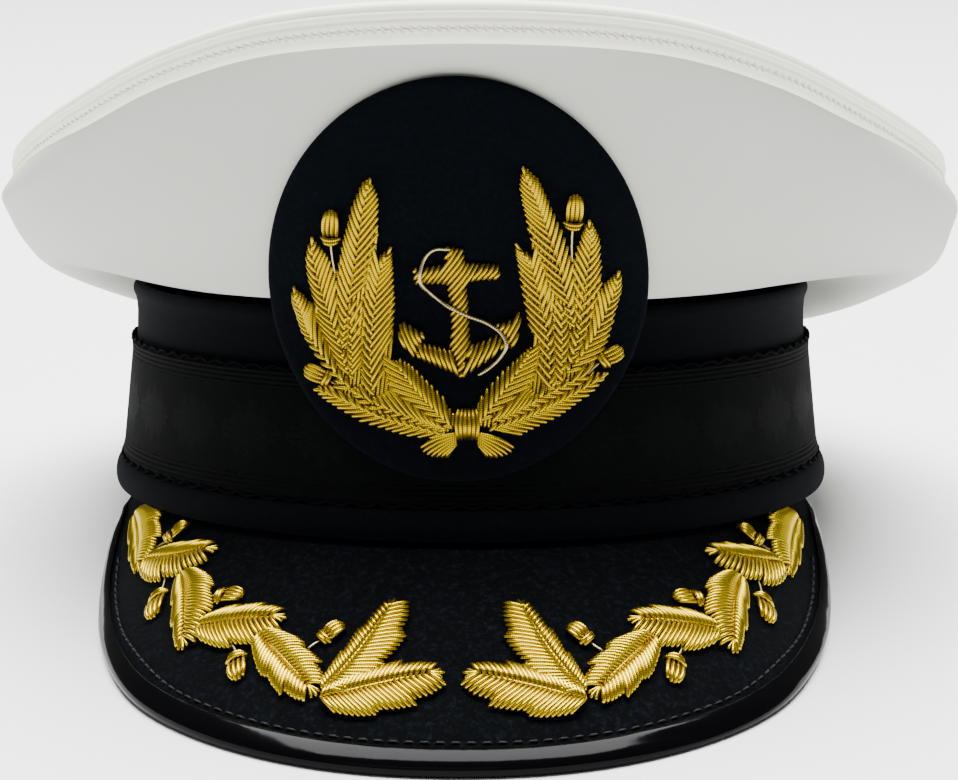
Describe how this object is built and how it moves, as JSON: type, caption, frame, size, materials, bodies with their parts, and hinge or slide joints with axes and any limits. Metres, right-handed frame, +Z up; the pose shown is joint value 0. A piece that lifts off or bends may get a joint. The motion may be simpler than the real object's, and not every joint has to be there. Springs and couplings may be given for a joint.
{
  "type": "peaked cap",
  "caption": "Peaked cap with a flared taut crown, dark laced band, embroidered badge patch and an edged peak with gilt leaf sprays; worn on the head.",
  "frame": {"origin": "middle of the bounding box, at the level of the surface that the cap rests on", "axes": "+Z up off the surface that the cap rests on, -Y out of the front over the peak, +X to the wearer's left"},
  "size_m": [0.2376, 0.29, 0.1497],
  "materials": {
    "dark_cloth": "blue-black melton cloth, matt with a fine nap",
    "felt": "black wool felt, matt",
    "lace_cloth": "black mohair lace with a woven oak leaf figure",
    "white_cloth": "white cloth, finely woven, matt",
    "welt_cloth": "off-white ribbed cord",
    "patent_leather": "black patent leather, glossy",
    "gold_thread": "gilt wire bullion, satin",
    "bright_gold_thread": "bright gilt wire bullion, satin",
    "pale_thread": "pale gilt purl cord, satin"
  },
  "bodies": {
    "root": {"band": "dark_cloth", "lace": "lace_cloth", "band_roll": "dark_cloth", "crown_front_quarter": "white_cloth", "crown_back_quarter": "white_cloth", "crown_welt": "welt_cloth", "crown_top": "white_cloth", "peak": "dark_cloth", "peak_edging": "patent_leather", "badge_patch": "felt", "wreath_tie": "gold_thread", "ribbon_left": "gold_thread", "ribbon_right": "gold_thread", "anchor": "gold_thread", "anchor_rope": "pale_thread", "wreath_leaf_left_1": "gold_thread", "wreath_leaf_left_2": "gold_thread", "wreath_leaf_left_3": "gold_thread", "wreath_leaf_left_4": "gold_thread", "wreath_leaf_left_5": "gold_thread", "wreath_leaf_left_6": "gold_thread", "wreath_leaf_left_7": "gold_thread", "wreath_leaf_left_8": "gold_thread", "wreath_leaf_right_1": "gold_thread", "wreath_leaf_right_2": "gold_thread", "wreath_leaf_right_3": "gold_thread", "wreath_leaf_right_4": "gold_thread", "wreath_leaf_right_5": "gold_thread", "wreath_leaf_right_6": "gold_thread", "wreath_leaf_right_7": "gold_thread", "wreath_leaf_right_8": "gold_thread", "wreath_acorn_left_high": "gold_thread", "wreath_acorn_left_low": "gold_thread", "wreath_acorn_right_high": "gold_thread", "wreath_acorn_right_low": "gold_thread", "peak_leaf_left_1": "bright_gold_thread", "peak_leaf_left_2": "bright_gold_thread", "peak_leaf_left_3": "bright_gold_thread", "peak_leaf_left_4": "bright_gold_thread", "peak_leaf_left_5": "bright_gold_thread", "peak_leaf_left_6": "bright_gold_thread", "peak_leaf_left_7": "bright_gold_thread", "peak_acorn_left_1": "bright_gold_thread", "peak_acorn_left_2": "bright_gold_thread", "peak_acorn_left_3": "bright_gold_thread", "peak_acorn_left_4": "bright_gold_thread", "peak_acorn_left_5": "bright_gold_thread", "peak_leaf_right_1": "bright_gold_thread", "peak_leaf_right_2": "bright_gold_thread", "peak_leaf_right_3": "bright_gold_thread", "peak_leaf_right_4": "bright_gold_thread", "peak_leaf_right_5": "bright_gold_thread", "peak_leaf_right_6": "bright_gold_thread", "peak_leaf_right_7": "bright_gold_thread", "peak_acorn_right_1": "bright_gold_thread", "peak_acorn_right_2": "bright_gold_thread", "peak_acorn_right_3": "bright_gold_thread", "peak_acorn_right_4": "bright_gold_thread", "peak_acorn_right_5": "bright_gold_thread"}
  },
  "joints": []
}
